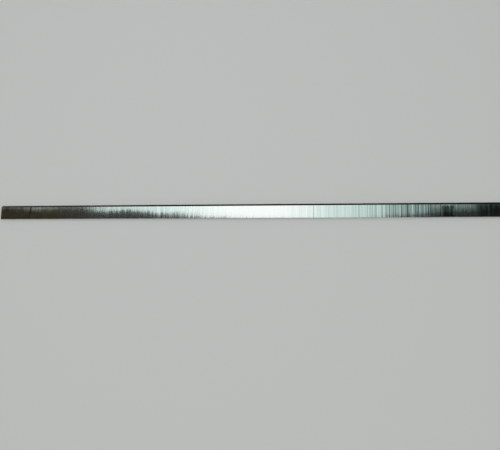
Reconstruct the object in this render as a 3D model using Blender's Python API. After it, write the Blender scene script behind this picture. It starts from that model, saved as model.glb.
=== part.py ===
"""Planer knife: a long strip of high-speed steel, ground flat, with a hollow-ground bevel along its front edge.

The knife lies on its back, bevel up. X runs along its length, the cutting edge faces +Y, and the origin is at the
middle of the back. Lengths are in metres and angles in degrees.
"""

import math

import bmesh
import bpy
from mathutils import Matrix, Vector

# The ground strip
LENGTH = 1.050
WIDTH = 0.030
THICKNESS = 0.003
CORNER_RADIUS = 0.003  # rounds both ends of the cutting edge
EDGE_BREAK = 0.0002  # what is stoned off every edge but the cutting edge

# The cutting edge
BEVEL_ANGLE = 35.0  # between the back and the chord of the hollow
HOLLOW_RADIUS = 0.100  # of the wheel that ground the bevel
HONE_ANGLE = 40.0  # of the honed strip along the edge
HONE_WIDTH = 0.0005
EDGE_LAND = 0.00005  # height of the edge itself

# How many flats stand for a curve
CORNER_SEGMENTS = 24
HOLLOW_SEGMENTS = 6

CUTTER_MARGIN = 0.002  # by which the cutter runs past the steel
WELD_DISTANCE = 0.000001


def clear_scene():
    for old in list(bpy.data.objects):
        bpy.data.objects.remove(old, do_unlink=True)


def new_collection(name):
    collection = bpy.data.collections.new(name)
    bpy.context.scene.collection.children.link(collection)
    return collection


def ground_steel():
    material = bpy.data.materials.new("ground_steel")
    material.use_nodes = True
    shader = material.node_tree.nodes["Principled BSDF"]
    shader.inputs["Base Color"].default_value = (0.60, 0.63, 0.61, 1.0)
    shader.inputs["Metallic"].default_value = 1.0
    shader.inputs["Roughness"].default_value = 0.25
    return material


def is_front_corner(edge):
    """True for the two upright edges at the ends of the front face."""
    return all(vert.co.y > 0 for vert in edge.verts) and edge.verts[0].co.x == edge.verts[1].co.x


def break_edge(strip, towards):
    """Cut a flat at 45 degrees along the edge that lies one way from the strip's middle."""
    half_size = (LENGTH / 2, WIDTH / 2, THICKNESS / 2)
    edge = Vector(part * half for part, half in zip(towards, half_size, strict=True))
    edge.z += THICKNESS / 2
    cut = bmesh.ops.bisect_plane(
        strip,
        geom=[*strip.verts, *strip.edges, *strip.faces],
        plane_co=edge - towards * (EDGE_BREAK / 2),
        plane_no=towards,
        clear_outer=True,
    )
    rim = [item for item in cut["geom_cut"] if isinstance(item, bmesh.types.BMEdge)]
    bmesh.ops.edgenet_fill(strip, edges=rim)


def ground_strip():
    """The strip before its bevel is ground. The flats along its ends run out in the rounded corners."""
    strip = bmesh.new()
    bmesh.ops.create_cube(strip, size=1.0)
    bmesh.ops.scale(strip, vec=(LENGTH, WIDTH, THICKNESS), verts=strip.verts)
    bmesh.ops.translate(strip, vec=(0.0, 0.0, THICKNESS / 2), verts=strip.verts)
    bmesh.ops.bevel(
        strip,
        geom=[edge for edge in strip.edges if is_front_corner(edge)],
        affect="EDGES",
        offset_type="OFFSET",
        offset=CORNER_RADIUS,
        segments=CORNER_SEGMENTS,
        profile=0.5,
        material=-1,
    )
    for side in (-1, 1):
        break_edge(strip, Vector((0, -1, side)))
        break_edge(strip, Vector((side, -1, 0)))
        for end in (-1, 1):
            break_edge(strip, Vector((end, 0, side)))
    bmesh.ops.recalc_face_normals(strip, faces=strip.faces)
    mesh = bpy.data.meshes.new("ground_strip")
    strip.to_mesh(mesh)
    strip.free()
    return mesh


def hollow(toe, chord):
    """Points (y, z) of the arc that sinks into the steel, from the bevel's toe up to its heel."""
    bevel = math.radians(BEVEL_ANGLE)
    half_turn = math.asin(chord / 2 / HOLLOW_RADIUS)
    centre_y = toe[0] + HOLLOW_RADIUS * math.sin(bevel - half_turn)
    centre_z = toe[1] + HOLLOW_RADIUS * math.cos(bevel - half_turn)
    points = []
    for step in range(HOLLOW_SEGMENTS + 1):
        turn = bevel - half_turn + 2 * half_turn * step / HOLLOW_SEGMENTS
        y = centre_y - HOLLOW_RADIUS * math.sin(turn)
        z = centre_z - HOLLOW_RADIUS * math.cos(turn)
        points.append((y, z))
    return points


def bevel_profile():
    """Points (y, z) round the steel that grinding takes off, from below the edge up to above the heel."""
    bevel = math.radians(BEVEL_ANGLE)
    hone = math.radians(HONE_ANGLE)
    front = WIDTH / 2
    past_edge = front + CUTTER_MARGIN
    above_face = THICKNESS + CUTTER_MARGIN
    toe = (front - HONE_WIDTH * math.cos(hone), EDGE_LAND + HONE_WIDTH * math.sin(hone))
    chord = (THICKNESS - toe[1]) / math.sin(bevel)
    heel_y = toe[0] - chord * math.cos(bevel)
    return [
        (past_edge, EDGE_LAND - CUTTER_MARGIN * math.tan(hone)),
        *hollow(toe, chord),
        (heel_y - CUTTER_MARGIN / math.tan(bevel), above_face),
        (past_edge, above_face),
    ]


def grinding_cutter(collection):
    """The bevel's profile drawn out along X, past both ends of the strip."""
    points = bevel_profile()
    curve = bpy.data.curves.new("bevel_profile", "CURVE")
    curve.dimensions = "2D"
    curve.fill_mode = "BOTH"
    curve.extrude = LENGTH / 2 + CUTTER_MARGIN
    spline = curve.splines.new("POLY")
    spline.points.add(len(points) - 1)
    for point, (y, z) in zip(spline.points, points, strict=True):
        point.co = (y, z, 0.0, 1.0)
    spline.use_cyclic_u = True
    outline = bpy.data.objects.new("bevel_outline", curve)
    collection.objects.link(outline)

    # The curve's own X, Y and Z become the knife's Y, Z and X
    outline.matrix_world = Matrix(((0, 0, 1, 0), (1, 0, 0, 0), (0, 1, 0, 0), (0, 0, 0, 1)))
    mesh = evaluated_mesh(outline)
    prism = bmesh.new()
    prism.from_mesh(mesh)
    bmesh.ops.remove_doubles(prism, verts=prism.verts, dist=WELD_DISTANCE)
    bmesh.ops.recalc_face_normals(prism, faces=prism.faces)
    prism.to_mesh(mesh)
    prism.free()
    cutter = bpy.data.objects.new("bevel_cutter", mesh)
    collection.objects.link(cutter)
    cutter.matrix_world = outline.matrix_world
    cutter.hide_render = True
    cutter.display_type = "WIRE"
    bpy.data.objects.remove(outline, do_unlink=True)
    return cutter


def evaluated_mesh(thing):
    bpy.context.view_layer.update()
    evaluated = thing.evaluated_get(bpy.context.evaluated_depsgraph_get())
    return bpy.data.meshes.new_from_object(evaluated)


def shade_curves(mesh):
    """Smooth the flats of one curve into each other, and keep the hone's line and every edge crisp."""
    between_flats = math.radians(90 / CORNER_SEGMENTS)
    mesh.shade_smooth()
    mesh.set_sharp_from_angle(angle=between_flats * 1.1)


def planer_knife(parts, cutters):
    knife = bpy.data.objects.new("planer_knife", ground_strip())
    parts.objects.link(knife)
    bevel = knife.modifiers.new("bevel", "BOOLEAN")
    bevel.operation = "DIFFERENCE"
    bevel.solver = "EXACT"
    bevel.object = grinding_cutter(cutters)
    ground = evaluated_mesh(knife)
    knife.modifiers.clear()
    knife.data = ground
    shade_curves(ground)
    ground.materials.clear()
    ground.materials.append(ground_steel())


def main():
    clear_scene()
    planer_knife(new_collection("planer_knife"), new_collection("cutters"))


main()
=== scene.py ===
import math

import bmesh
import bpy
from mathutils import Matrix, Vector


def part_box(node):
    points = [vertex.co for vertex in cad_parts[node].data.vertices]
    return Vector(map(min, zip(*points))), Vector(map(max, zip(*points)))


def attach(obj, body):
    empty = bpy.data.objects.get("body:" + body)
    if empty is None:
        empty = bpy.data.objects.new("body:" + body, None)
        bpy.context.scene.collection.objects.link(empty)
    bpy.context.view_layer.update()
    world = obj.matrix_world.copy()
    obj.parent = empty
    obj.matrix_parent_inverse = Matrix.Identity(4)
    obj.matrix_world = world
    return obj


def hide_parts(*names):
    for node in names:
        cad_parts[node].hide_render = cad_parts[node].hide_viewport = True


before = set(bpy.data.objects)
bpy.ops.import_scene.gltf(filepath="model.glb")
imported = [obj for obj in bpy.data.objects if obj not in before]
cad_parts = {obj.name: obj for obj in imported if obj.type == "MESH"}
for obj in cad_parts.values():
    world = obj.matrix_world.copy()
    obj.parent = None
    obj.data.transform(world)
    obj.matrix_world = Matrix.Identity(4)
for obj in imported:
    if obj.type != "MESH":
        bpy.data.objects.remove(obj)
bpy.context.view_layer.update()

# The knife's own sizes, in metres. Its length, width and thickness come from the frame.
LOW, HIGH = (Vector(corner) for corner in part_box("planer_knife"))
LENGTH, WIDTH, THICKNESS = HIGH - LOW
CORNER_RADIUS = 0.003
CORNER_SEGMENTS = 24
EDGE_ROUND = 0.0002
ROUND_FLATS = 3  # how many flats stand for the round of a broken edge
BEVEL_ANGLE = math.radians(35)
HOLLOW_RADIUS = 0.100
HOLLOW_SEGMENTS = 6
HONE_ANGLE = math.radians(40)
HONE_WIDTH = 0.0005
EDGE_LAND = 0.00005
CRISP_ANGLE = math.radians(30)  # edges sharper than this aren't shaded smooth

# The knife's surfaces, in the order of its material slots
FACE, BEVEL, HONE, SIDE = range(4)

# The map of the knife's surface, a square picture that holds the knife in strips laid one above another
MAP_PIXELS = 1024
MAP_STRIPS = 6
MAP_GAP = 2
ALONG_PIXELS = 5700  # for each metre of length
ACROSS_PIXELS = 2400  # for each metre of width or thickness

# Where the broad face is marked, in metres from its middle, and how dark each mark is, from 0 to 1
LEFT_TINT_ENDS, LEFT_TINT_FULL = -0.275, -0.440
LINE, LINE_LEAN, LINE_REACH, LINE_DEPTH = -0.4587, 0.14, 0.0028, 1.0
SPOT, SPOT_REACH, SPOT_DEPTH = (-0.5118, 0.0055), 0.005, 0.8
DULL_PATCH = (-0.4739, -0.4306)
SMUDGES = ((0.4085, 0.4315, 0.72), (0.4121, 0.4213, 0.74), (0.4255, 0.4310, 0.76))  # starts, ends and depths
# Painted shade: near the right end the face is painted darker towards its rear edge
PAINTED_REAR_SHADE, PAINTED_REAR_SHADE_DEPTH = (0.3850, 0.4760), 0.42
# Painted shade: the right end of the face is painted nearly black
PAINTED_END_SHADE_FROM, PAINTED_END_SHADE_FULL, PAINTED_END_SHADE_DEPTH = 0.469, 0.484, 0.94
# The deep scratches' dark is painted shade
SHADED_SCRATCHES = (  # places and depths
    (0.1530, 0.35), (0.3060, 0.75), (0.3139, 0.50), (0.3179, 0.45), (0.3297, 0.60), (0.3416, 0.90),
    (0.3573, 0.75), (0.3632, 0.90), (0.3828, 0.75), (0.3867, 0.80), (0.4062, 0.70), (0.5046, 0.80),
)
# The bright scratches' near-white is a painted highlight
GLINTING_SCRATCHES = (0.3514, 0.3652, 0.3750, 0.3809, 0.3848, 0.4082, 0.4237, 0.4373, 0.4988, 0.5122)
SCRATCH_SHADE_REACH, GLINT_REACH = 0.0018, 0.0020  # from a scratch's middle to where it ends
GLINT_DEPTH = 0.8

# Where the face's fine streaks change along it
WORN_FROM, WORN_FULL, WORN_DEPTH = 0.180, 0.340, 0.48
WORN_LESS_FROM, WORN_LESS_FULL, WORN_LESS = 0.290, 0.310, 0.6
EVEN_MIDDLE, EVEN_MIDDLE_SOFT, EVEN_MIDDLE_SHARE = (-0.09, 0.13), 0.07, 0.9
EVEN_RIGHT_FROM, EVEN_RIGHT_FULL, EVEN_RIGHT_SHARE = 0.220, 0.400, 0.65

# The face isn't quite flat: it leans to and fro along its left half
WAVE_CREST, WAVE_LENGTH, WAVE_SLOPE = -0.297, 0.125, 0.0014
WAVE_ENDS, WAVE_FULL = -0.05, -0.20

# Colours of the steel, from its dull streaks to its bright ones, of its brown tint, and of the marks, painted
# shade and painted highlights on it
FACE_DULL, FACE_BRIGHT, FACE_EVEN = (0.54, 0.57, 0.56, 1), (0.66, 0.69, 0.68, 1), (0.57, 0.61, 0.595, 1)
BEVEL_DULL, BEVEL_BRIGHT = (0.34, 0.37, 0.36, 1), (0.44, 0.47, 0.46, 1)
HONE_DULL, HONE_BRIGHT = (0.50, 0.53, 0.52, 1), (0.60, 0.63, 0.62, 1)
SIDE_DULL, SIDE_BRIGHT = (0.40, 0.44, 0.42, 1), (0.52, 0.57, 0.55, 1)
FACE_LEFT_TINT, BEVEL_LEFT_TINT = (0.46, 0.37, 0.21, 1), (0.32, 0.36, 0.28, 1)
PAINTED_SCRATCH_GLINT, DARK_MARK_AND_SHADE = (0.93, 0.97, 0.95, 1), (0.05, 0.06, 0.055, 1)

# How the picture is taken
CAMERA_PLACE = Vector((0.186, -0.253, 1.303))
CAMERA_AIM = Vector((0.0219, -0.0292, 0.0))
CAMERA_TURN = math.radians(1.01)
CAMERA_LENS = 46.27

# The lights
LAMP_HEIGHT = 1.58
LAMP_TEAL = (0.71, 1.0, 0.92)

# How bright the room is, from straight ahead (0) to straight up (1)
ROOM_LEVELS = ((0.0, 0.85), (0.40, 0.95), (0.62, 1.0), (0.74, 0.055), (1.0, 0.05))

# What stands around the knife
CARD_WIDTH, CARD_HEIGHT, CARD_PLACE = 2.4, 0.20, 0.5
CARD_COLOUR = (0.01, 0.01, 0.011, 1)
FLOOR_RADIUS, FLOOR_GAP = 30.0, 0.0001
FLOOR_COLOUR = (0.82, 0.83, 0.81, 1)
STUDIO_ROUGHNESS = 0.9


# Mesh

def slice_through(solid, faces, point, normal, clear=False):
    """Cut some of the faces along a plane, and take off what lies beyond it if asked."""
    edges = {edge for face in faces for edge in face.edges}
    verts = {vert for face in faces for vert in face.verts}
    return bmesh.ops.bisect_plane(
        solid,
        geom=[*verts, *edges, *faces],
        plane_co=point,
        plane_no=normal,
        clear_outer=clear,
    )


def grind_off(solid, point, normal, surface):
    """Take off what lies beyond a plane and close the cut with one face."""
    result = slice_through(solid, list(solid.faces), point, normal, clear=True)
    rim = [item for item in result["geom_cut"] if isinstance(item, bmesh.types.BMEdge)]
    for face in bmesh.ops.edgenet_fill(solid, edges=rim)["faces"]:
        face.material_index = surface


def blank():
    """The flat bar, with its two front corners rounded."""
    solid = bmesh.new()
    bmesh.ops.create_cube(solid, size=1.0)
    bmesh.ops.scale(solid, vec=(LENGTH, WIDTH, THICKNESS), verts=solid.verts)
    bmesh.ops.translate(solid, vec=(LOW + HIGH) / 2, verts=solid.verts)
    corners = [
        edge
        for edge in solid.edges
        if all(vert.co.y > 0 for vert in edge.verts) and edge.verts[0].co.x == edge.verts[1].co.x
    ]
    bmesh.ops.bevel(
        solid,
        geom=corners,
        affect="EDGES",
        offset_type="OFFSET",
        offset=CORNER_RADIUS,
        segments=CORNER_SEGMENTS,
        profile=0.5,
        material=-1,
    )
    for face in solid.faces:
        face.material_index = FACE if abs(face.normal.z) > 0.5 else SIDE
    return solid


def round_edge(solid, first, second):
    """Round the edge between two faces, given by their outward directions, with narrow flats."""
    middle = (LOW + HIGH) / 2
    half = (HIGH - LOW) / 2
    towards = first + second
    corner = middle + Vector(t * h for t, h in zip(towards, half, strict=True))
    centre = corner - towards * EDGE_ROUND
    for flat in range(1, ROUND_FLATS + 1):
        turn = math.radians(90) * flat / (ROUND_FLATS + 1)
        normal = first * math.cos(turn) + second * math.sin(turn)
        grind_off(solid, centre + normal * EDGE_ROUND, normal, SIDE)


def hollow_out(solid, toe, uphill):
    """Sink the bevel into an arc from its toe to its heel. `uphill` runs from the one to the other."""
    chord = (HIGH.z - toe.z) / uphill.z
    for step in range(1, HOLLOW_SEGMENTS):
        bevel = [face for face in solid.faces if face.material_index == BEVEL]
        slice_through(solid, bevel, toe + uphill * chord * step / HOLLOW_SEGMENTS, uphill)
    bevel = [face for face in solid.faces if face.material_index == BEVEL]
    for vert in {vert for face in bevel for vert in face.verts}:
        along = (vert.co - toe).dot(uphill)
        depth = along * (chord - along) / (2 * HOLLOW_RADIUS)
        vert.co.z -= depth / math.cos(BEVEL_ANGLE)


def side_of(face):
    """The axis that a face looks along most, and whether it looks towards the positive end."""
    axis = max(range(3), key=lambda number: abs(face.normal[number]))
    return "xyz"[axis], face.normal[axis] > 0


def lay_out_map(solid):
    """Give each piece of the length a band of the map, with its top, back and long edges in rows."""
    length = LENGTH / MAP_STRIPS
    for strip in range(1, MAP_STRIPS):
        slice_through(solid, list(solid.faces), (LOW.x + length * strip, 0, 0), (1, 0, 0))
    rows = {
        ("z", True): 0,
        ("z", False): WIDTH,
        ("y", False): WIDTH * 2,
        ("y", True): WIDTH * 2 + THICKNESS,
    }
    layer = solid.loops.layers.uv.new("OFBake")
    for face in solid.faces:
        side = side_of(face)
        strip = min(int((face.calc_center_median().x - LOW.x) / length), MAP_STRIPS - 1)
        band = MAP_PIXELS / MAP_STRIPS * strip
        for loop in face.loops:
            place = loop.vert.co - LOW
            if side[0] == "x":
                # Both ends lie beside the first band
                column = THICKNESS * side[1]
                u = ALONG_PIXELS * length + MAP_GAP * (2 + side[1]) + ACROSS_PIXELS * (column + place.z)
                v = MAP_GAP + ACROSS_PIXELS * place.y
            else:
                across = place.y if side[0] == "z" else place.z
                row = list(rows).index(side)
                u = MAP_GAP / 2 + ALONG_PIXELS * (place.x - length * strip)
                v = band + MAP_GAP * (row + 1) + ACROSS_PIXELS * (rows[side] + across)
            loop[layer].uv = (u / MAP_PIXELS, v / MAP_PIXELS)


def ground_knife():
    solid = blank()
    x, y, z = Vector((1, 0, 0)), Vector((0, 1, 0)), Vector((0, 0, 1))
    for side in (-1, 1):
        round_edge(solid, -y, z * side)
        round_edge(solid, -y, x * side)
        for end in (-1, 1):
            round_edge(solid, x * end, z * side)
    edge = Vector((0, HIGH.y, EDGE_LAND))
    toe = edge + Vector((0, -math.cos(HONE_ANGLE), math.sin(HONE_ANGLE))) * HONE_WIDTH
    grind_off(solid, edge, (0, math.sin(HONE_ANGLE), math.cos(HONE_ANGLE)), HONE)
    grind_off(solid, toe, (0, math.sin(BEVEL_ANGLE), math.cos(BEVEL_ANGLE)), BEVEL)
    hollow_out(solid, toe, Vector((0, -math.cos(BEVEL_ANGLE), math.sin(BEVEL_ANGLE))))
    bmesh.ops.recalc_face_normals(solid, faces=solid.faces)
    lay_out_map(solid)
    for face in solid.faces:
        face.smooth = True
    for seam in solid.edges:
        first, second = seam.link_faces
        seam.smooth = seam.calc_face_angle() < CRISP_ANGLE and first.material_index == second.material_index
    mesh = bpy.data.meshes.new("ground_knife")
    solid.to_mesh(mesh)
    solid.free()
    knife = bpy.data.objects.new("ground_knife", mesh)
    bpy.context.scene.collection.objects.link(knife)
    for finish in (face_finish, bevel_finish, hone_finish, side_finish):
        mesh.materials.append(finish())
    shading = knife.modifiers.new("flat_faces_stay_flat", "WEIGHTED_NORMAL")
    shading.keep_sharp = True
    return knife


# Materials

class Steel:
    """One finish of the steel, and short ways to build its nodes on the knife's own coordinates."""

    def __init__(self, name, roughness, anisotropy):
        self.material = bpy.data.materials.new(name)
        self.material.use_nodes = True
        self.tree = self.material.node_tree
        self.shader = self.tree.nodes["Principled BSDF"]
        self.shader.inputs["Metallic"].default_value = 1.0
        self.shader.inputs["Roughness"].default_value = roughness
        self.shader.inputs["Anisotropic"].default_value = anisotropy
        self.place = self.node("ShaderNodeTexCoord").outputs["Object"]
        split = self.node("ShaderNodeSeparateXYZ")
        self.link(self.place, split.inputs[0])
        self.x, self.y, self.z = split.outputs

        # The scratches run across the knife, so they spread a reflection along it
        along = self.node("ShaderNodeCombineXYZ")
        along.inputs["X"].default_value = 1.0
        self.link(along.outputs[0], self.shader.inputs["Tangent"])

    def node(self, kind, **settings):
        made = self.tree.nodes.new(kind)
        for key, value in settings.items():
            setattr(made, key, value)
        return made

    def link(self, source, target):
        self.tree.links.new(source, target)

    def feed(self, value, socket):
        """Set a socket to a plain number, or link it to an output."""
        if isinstance(value, bpy.types.NodeSocket):
            self.link(value, socket)
        else:
            socket.default_value = value

    def compute(self, operation, first, second=0.0):
        made = self.node("ShaderNodeMath", operation=operation)
        self.feed(first, made.inputs[0])
        self.feed(second, made.inputs[1])
        return made.outputs[0]

    def total(self, *parts):
        result = parts[0]
        for part in parts[1:]:
            result = self.compute("ADD", result, part)
        return result

    def product(self, *parts):
        result = parts[0]
        for part in parts[1:]:
            result = self.compute("MULTIPLY", result, part)
        return result

    def fade(self, value, start, end, low=0.0, high=1.0):
        """Go smoothly from `low` where the value is at `start` to `high` where it is at `end`."""
        made = self.node("ShaderNodeMapRange", interpolation_type="SMOOTHSTEP")
        self.feed(value, made.inputs["Value"])
        limits = {"From Min": start, "From Max": end, "To Min": low, "To Max": high}
        for name, number in limits.items():
            made.inputs[name].default_value = number
        return made.outputs[0]

    def grain(self, along, across, detail=2.0, shift=0.0):
        """Noise that changes over `along` metres of the knife's length and `across` metres of its width."""
        scale = self.node("ShaderNodeMapping")
        scale.inputs["Scale"].default_value = (1 / along, 1 / across, 1 / across)
        scale.inputs["Location"].default_value = (shift, shift, shift)
        self.link(self.place, scale.inputs["Vector"])
        noise = self.node("ShaderNodeTexNoise")
        noise.inputs["Scale"].default_value = 1.0
        noise.inputs["Detail"].default_value = detail
        self.link(scale.outputs[0], noise.inputs["Vector"])
        return noise.outputs["Fac"]

    def ridges(self, along, across, slope, detail=2.0, shift=0.0):
        """Heights of ridges whose flanks have about this slope along the knife."""
        return self.product(self.grain(along, across, detail, shift), 2 * slope * along)

    def near(self, value, centre, reach):
        """1 at a place along one axis, and 0 from `reach` away."""
        distance = self.compute("ABSOLUTE", self.compute("SUBTRACT", value, centre))
        return self.fade(distance, reach, 0.0)

    def between(self, value, start, end, soft):
        """1 between two places along one axis, with soft borders."""
        return self.product(
            self.fade(value, start - soft, start + soft),
            self.fade(value, end + soft, end - soft),
        )

    def blend(self, share, first, second):
        """Mix two colours, each a plain one or an output."""
        made = self.node("ShaderNodeMix", data_type="RGBA")
        self.feed(share, made.inputs["Factor"])
        for colour, socket in ((first, made.inputs["A"]), (second, made.inputs["B"])):
            self.feed(colour, socket)
        return made.outputs["Result"]

    def colour(self, value):
        self.link(value, self.shader.inputs["Base Color"])

    def roughness(self, value):
        self.link(value, self.shader.inputs["Roughness"])

    def relief(self, height, lean=0.0):
        """Give the surface its small heights, and lean it across the knife by a slope."""
        bump = self.node("ShaderNodeBump")
        bump.inputs["Strength"].default_value = 1.0
        bump.inputs["Distance"].default_value = 1.0
        self.link(height, bump.inputs["Height"])
        across = self.node("ShaderNodeCombineXYZ")
        self.feed(lean, across.inputs["Y"])
        leaned = self.node("ShaderNodeVectorMath", operation="ADD")
        self.link(bump.outputs[0], leaned.inputs[0])
        self.link(across.outputs[0], leaned.inputs[1])
        unit = self.node("ShaderNodeVectorMath", operation="NORMALIZE")
        self.link(leaned.outputs[0], unit.inputs[0])
        self.link(unit.outputs[0], self.shader.inputs["Normal"])


def face_finish():
    """The broad faces, ground across, with a brown tint at the left end, scratches and dark marks, and
    painted shade and painted highlights towards the right end.
    """
    steel = Steel("ground_face", 0.10, 1.0)
    ridges = steel.total(
        steel.ridges(0.0012, 0.20, 0.004),
        steel.ridges(0.0030, 0.25, 0.010, shift=3.3),
        steel.ridges(0.014, 0.30, 0.006, shift=7.7),
    )
    leaning = steel.total(
        steel.product(steel.grain(0.008, 1.0, shift=5.1), 0.006),
        steel.product(steel.grain(0.0030, 1.0, shift=2.2), 0.008),
        -0.0070,
    )
    phase = steel.product(steel.compute("SUBTRACT", steel.x, WAVE_CREST), math.tau / WAVE_LENGTH)
    left_half = steel.fade(steel.x, WAVE_ENDS, WAVE_FULL)
    wave = steel.product(steel.compute("COSINE", phase), left_half, WAVE_SLOPE)
    steel.relief(ridges, steel.total(leaning, wave))

    # Streaks of duller and brighter steel, which are evener in the middle and towards the right end
    streaks = steel.fade(steel.grain(0.0022, 0.15, shift=1.7), 0.30, 0.70)
    even_middle = steel.product(steel.between(steel.x, *EVEN_MIDDLE, EVEN_MIDDLE_SOFT), EVEN_MIDDLE_SHARE)
    streaks = steel.total(streaks, steel.product(even_middle, steel.compute("SUBTRACT", 1.0, streaks)))
    colour = steel.blend(streaks, FACE_DULL, FACE_BRIGHT)
    even_right = steel.product(steel.fade(steel.x, EVEN_RIGHT_FROM, EVEN_RIGHT_FULL), EVEN_RIGHT_SHARE)
    colour = steel.blend(even_right, colour, FACE_EVEN)

    # The single marks are only on the bevelled side, not on the back
    upper_side = steel.fade(steel.z, THICKNESS * 0.3, THICKNESS * 0.7)

    # A duller, rougher patch beside the line, with less of the brown tint
    dull = steel.product(
        upper_side,
        steel.between(steel.x, *DULL_PATCH, 0.002),
        steel.fade(steel.y, -0.002, 0.0105),
        steel.total(0.7, steel.product(streaks, 0.3)),
    )

    # A brown tint that thins out towards the middle and is strongest towards the rear edge
    blotches = steel.fade(steel.grain(0.012, 0.008, detail=3, shift=2.9), 0.35, 0.60)
    left_tint = steel.product(
        steel.fade(steel.x, LEFT_TINT_ENDS, LEFT_TINT_FULL),
        steel.total(0.70, steel.product(blotches, 0.30)),
        steel.fade(steel.y, 0.0095, 0.0030, low=0.35),
        steel.compute("SUBTRACT", 1.0, steel.product(dull, 0.8)),
    )
    colour = steel.blend(left_tint, colour, FACE_LEFT_TINT)

    # The right half is worn by many fine scratches and a few deep ones. The bright scratches' near-white is a
    # painted highlight, and the deep ones' dark is painted shade.
    for place in GLINTING_SCRATCHES:
        glinting_scratch = steel.product(steel.near(steel.x, place, GLINT_REACH), upper_side)
        colour = steel.blend(steel.product(glinting_scratch, GLINT_DEPTH), colour, PAINTED_SCRATCH_GLINT)
    worn = steel.fade(steel.x, WORN_FROM, WORN_FULL)
    fine = steel.fade(steel.grain(0.0024, 0.50, detail=1, shift=4.6), 0.58, 0.42)
    fewer = steel.fade(steel.x, WORN_LESS_FROM, WORN_LESS_FULL, low=1.0, high=WORN_LESS)
    colour = steel.blend(steel.product(worn, fewer, fine, WORN_DEPTH), colour, DARK_MARK_AND_SHADE)
    marks_and_shade = []
    for place, depth in SHADED_SCRATCHES:
        marks_and_shade.append((steel.near(steel.x, place, SCRATCH_SHADE_REACH), depth))

    # Dark smudges and painted shade near the right end, a dark line and a spot near the left end
    clouds = steel.fade(steel.grain(0.006, 0.030, detail=2, shift=6.1), 0.35, 0.60)
    soft_clouds = steel.total(0.80, steel.product(clouds, 0.20))
    ragged = steel.product(steel.compute("SUBTRACT", steel.grain(0.004, 0.008, shift=3.7), 0.5), 0.008)
    below_heel = steel.fade(steel.total(steel.y, ragged), 0.0100, 0.0060)
    wander = steel.product(steel.compute("SUBTRACT", steel.grain(0.008, 0.006, shift=5.9), 0.5), 0.008)
    wandering_x = steel.total(steel.x, wander)
    for start, end, depth in SMUDGES:
        smudge = steel.product(steel.between(wandering_x, start, end, 0.0025), below_heel, soft_clouds)
        marks_and_shade.append((smudge, depth))
    # Painted shade: near the right end the face is darker towards its rear edge
    painted_rear_shade = steel.product(steel.between(steel.x, *PAINTED_REAR_SHADE, 0.010), steel.fade(steel.y, 0.0080, 0.0000))
    marks_and_shade.append((painted_rear_shade, PAINTED_REAR_SHADE_DEPTH))
    # Painted shade over the right end, mottled by the clouds
    end_of_knife = steel.fade(wandering_x, PAINTED_END_SHADE_FROM, PAINTED_END_SHADE_FULL)
    shaded_end = steel.product(
        end_of_knife,
        steel.total(0.8, steel.product(below_heel, 0.2)),
        steel.fade(steel.y, -0.0120, -0.0010, low=0.80),
    )
    marks_and_shade.append((steel.product(shaded_end, soft_clouds), PAINTED_END_SHADE_DEPTH))
    leaned_x = steel.compute("SUBTRACT", steel.x, steel.product(steel.y, LINE_LEAN))
    line = steel.product(steel.near(leaned_x, LINE, LINE_REACH), steel.fade(steel.y, -0.010, 0.002, low=0.4))
    marks_and_shade.append((line, LINE_DEPTH))
    spot = steel.product(steel.near(steel.x, SPOT[0], SPOT_REACH), steel.near(steel.y, SPOT[1], SPOT_REACH))
    marks_and_shade.append((spot, SPOT_DEPTH))
    for darkening, depth in marks_and_shade:
        colour = steel.blend(steel.product(darkening, upper_side, depth), colour, DARK_MARK_AND_SHADE)
    steel.colour(colour)
    steel.roughness(steel.total(0.085, steel.product(streaks, 0.015), steel.product(dull, 0.08)))
    return steel.material


def bevel_finish():
    """The hollow-ground bevel, duller and tinted towards the left end."""
    steel = Steel("ground_bevel", 0.12, 1.0)
    steel.relief(steel.total(steel.ridges(0.0006, 0.02, 0.02), steel.ridges(0.004, 0.03, 0.006, shift=4.4)))
    streaks = steel.fade(steel.grain(0.0015, 0.03, shift=8.2), 0.30, 0.70)
    left_tint = steel.fade(steel.x, 0.0, LEFT_TINT_FULL)
    colour = steel.blend(streaks, BEVEL_DULL, BEVEL_BRIGHT)
    steel.colour(steel.blend(steel.product(left_tint, 0.8), colour, BEVEL_LEFT_TINT))
    steel.roughness(steel.total(0.09, steel.product(streaks, 0.02), steel.product(left_tint, 0.16)))
    return steel.material


def hone_finish():
    """The narrow honed strip along the cutting edge."""
    steel = Steel("honed_edge", 0.1, 0.6)
    steel.relief(steel.ridges(0.0004, 0.02, 0.01))
    streaks = steel.grain(0.002, 0.02, shift=6.6)
    steel.colour(steel.blend(streaks, HONE_DULL, HONE_BRIGHT))
    return steel.material


def side_finish():
    """The narrow rear edge and the ends, ground less finely."""
    steel = Steel("ground_side", 0.28, 0.7)
    steel.relief(steel.ridges(0.0008, 0.02, 0.03))
    streaks = steel.fade(steel.grain(0.003, 0.03, shift=9.4), 0.30, 0.70)
    steel.colour(steel.blend(streaks, SIDE_DULL, SIDE_BRIGHT))
    return steel.material


# Studio

def camera():
    data = bpy.data.cameras.new("camera")
    data.lens = CAMERA_LENS
    data.clip_start = 0.01
    thing = bpy.data.objects.new("camera", data)
    bpy.context.scene.collection.objects.link(thing)
    forward = (CAMERA_AIM - CAMERA_PLACE).normalized()
    right = forward.cross((0, 1, 0)).normalized()
    view = Matrix((right, right.cross(forward), -forward)).transposed()
    thing.location = CAMERA_PLACE
    thing.rotation_euler = (view @ Matrix.Rotation(CAMERA_TURN, 3, "Z")).to_euler()
    bpy.context.scene.camera = thing


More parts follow.
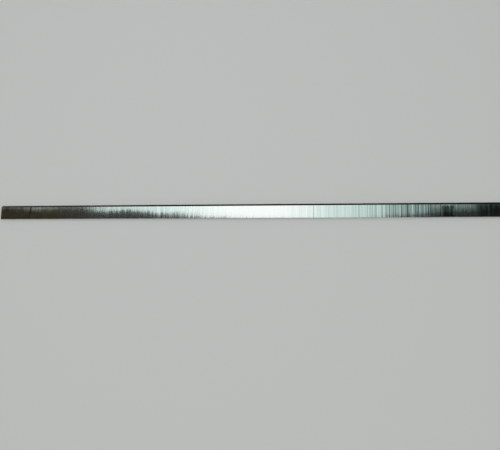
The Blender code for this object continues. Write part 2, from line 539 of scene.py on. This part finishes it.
def studio_sheet(name, flat, place, colour):
    """A flat shape, put in its place, that belongs to the studio."""
    mesh = bpy.data.meshes.new(name)
    bmesh.ops.transform(flat, matrix=place, verts=flat.verts)
    flat.to_mesh(mesh)
    flat.free()
    material = bpy.data.materials.new(name)
    material.use_nodes = True
    shader = material.node_tree.nodes["Principled BSDF"]
    shader.inputs["Base Color"].default_value = colour
    shader.inputs["Roughness"].default_value = STUDIO_ROUGHNESS
    mesh.materials.append(material)
    thing = bpy.data.objects.new(name, mesh)
    bpy.context.scene.collection.objects.link(thing)
    return thing


def floor():
    disc = bmesh.new()
    bmesh.ops.create_circle(disc, cap_ends=True, segments=128, radius=FLOOR_RADIUS)
    studio_sheet("floor", disc, Matrix.Translation((0, 0, LOW.z - FLOOR_GAP)), FLOOR_COLOUR)


def black_card():
    """A low black card in front of the edge, seen only in the steel: the bevel mirrors it."""
    flat = bmesh.new()
    bmesh.ops.create_grid(flat, x_segments=1, y_segments=1, size=0.5)
    bmesh.ops.scale(flat, vec=(CARD_WIDTH, CARD_HEIGHT, 1.0), verts=flat.verts)
    upright = Matrix.Translation((0, CARD_PLACE, CARD_HEIGHT / 2)) @ Matrix.Rotation(math.radians(90), 4, "X")
    card = studio_sheet("black_card", flat, upright, CARD_COLOUR)
    card.visible_camera = False
    card.visible_diffuse = False
    card.visible_shadow = False


def ramp(tree, place, stops):
    """Levels that go straight from stop to stop."""
    made = tree.nodes.new("ShaderNodeValToRGB")
    tree.links.new(place, made.inputs["Fac"])
    elements = made.color_ramp.elements
    elements[0].position = stops[0][0]
    elements[1].position = stops[-1][0]
    for position, _ in stops[1:-1]:
        elements.new(position)
    for element, (_, level) in zip(elements, stops, strict=True):
        element.color = (level, level, level, 1)
    return made.outputs["Color"]


def lamp(name, corner, width, depth, turn, stops, teal):
    """A softbox that faces down. `corner` is its near left one, before a turn in degrees about it.

    The stops give how bright it is at places along its width, and `teal` how far its white turns teal there.
    """
    brightest = max(radiance for _, radiance in stops)
    data = bpy.data.lights.new(name, "AREA")
    data.shape = "RECTANGLE"
    data.size = width
    data.size_y = depth
    data.energy = brightest * math.pi * width * depth
    data.use_nodes = True
    tree = data.node_tree
    split = tree.nodes.new("ShaderNodeSeparateXYZ")
    tree.links.new(tree.nodes.new("ShaderNodeNewGeometry").outputs["Parametric"], split.inputs[0])
    across = split.outputs["X"]
    glow = ramp(tree, across, [(place / width, radiance / brightest) for place, radiance in stops])
    tree.links.new(glow, tree.nodes["Emission"].inputs["Strength"])
    tint = tree.nodes.new("ShaderNodeMix")
    tint.data_type = "RGBA"
    share_of_teal = ramp(tree, across, [(place / width, share) for place, share in teal])
    tree.links.new(share_of_teal, tint.inputs["Factor"])
    tint.inputs["A"].default_value = (1, 1, 1, 1)
    tint.inputs["B"].default_value = (*LAMP_TEAL, 1)
    tree.links.new(tint.outputs["Result"], tree.nodes["Emission"].inputs["Color"])
    thing = bpy.data.objects.new(name, data)
    bpy.context.scene.collection.objects.link(thing)
    turning = Matrix.Rotation(math.radians(turn), 3, "Z")
    thing.location = Vector((*corner, LAMP_HEIGHT)) + turning @ Vector((width / 2, depth / 2, 0))
    thing.rotation_euler = turning.to_euler()


def room():
    """Pale walls under a dark ceiling."""
    world = bpy.data.worlds.new("room")
    bpy.context.scene.world = world
    world.use_nodes = True
    tree = world.node_tree
    split = tree.nodes.new("ShaderNodeSeparateXYZ")
    tree.links.new(tree.nodes.new("ShaderNodeTexCoord").outputs["Generated"], split.inputs[0])
    glow = ramp(tree, split.outputs["Z"], ROOM_LEVELS)
    tree.links.new(glow, tree.nodes["Background"].inputs["Color"])


camera()
floor()
black_card()
room()
lamp(
    "softbox",
    corner=(-0.915, 0.3155),
    width=0.435,
    depth=0.50,
    turn=-2.3,
    stops=((0.00, 1.34), (0.05, 1.16), (0.17, 1.10), (0.32, 1.26), (0.435, 1.32)),
    teal=((0.00, 0.5), (0.435, 0.5)),
)
lamp(
    "softbox_middle",
    corner=(-0.480, 0.282),
    width=0.92,
    depth=0.50,
    turn=-2.3,
    stops=(
        (0.00, 1.35), (0.06, 1.41), (0.12, 1.43), (0.50, 1.43), (0.565, 1.28), (0.645, 1.18), (0.715, 1.10),
        (0.785, 1.08), (0.855, 1.12), (0.92, 0.98),
    ),
    teal=((0.00, 0.5), (0.12, 0.0), (0.52, 0.0), (0.60, 0.5), (0.78, 0.6), (0.92, 0.8)),
)
lamp(
    "softbox_right",
    corner=(0.440, 0.284),
    width=0.42,
    depth=0.50,
    turn=3.0,
    stops=((0.00, 0.92), (0.07, 0.60), (0.14, 0.31), (0.21, 0.28), (0.30, 0.38), (0.36, 0.35), (0.42, 0.22)),
    teal=((0.00, 0.8), (0.14, 1.0), (0.42, 1.0)),
)
lamp(
    "softbox_left",
    corner=(-1.46, 0.331),
    width=0.54,
    depth=0.50,
    turn=-0.5,
    stops=((0.00, 0.20), (0.17, 0.44), (0.25, 0.72), (0.32, 0.18), (0.40, 0.02), (0.54, 0.01)),
    teal=((0.00, 0.5), (0.54, 0.5)),
)
lamp(
    "softbox_behind",
    corner=(-1.2, -1.20),
    width=2.40,
    depth=0.70,
    turn=0.0,
    stops=((0.0, 0.5), (2.4, 0.5)),
    teal=((0.0, 0.2), (2.4, 0.2)),
)

knife = ground_knife()
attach(knife, "root")
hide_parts("planer_knife")

bpy.context.scene.view_settings.view_transform = "Standard"
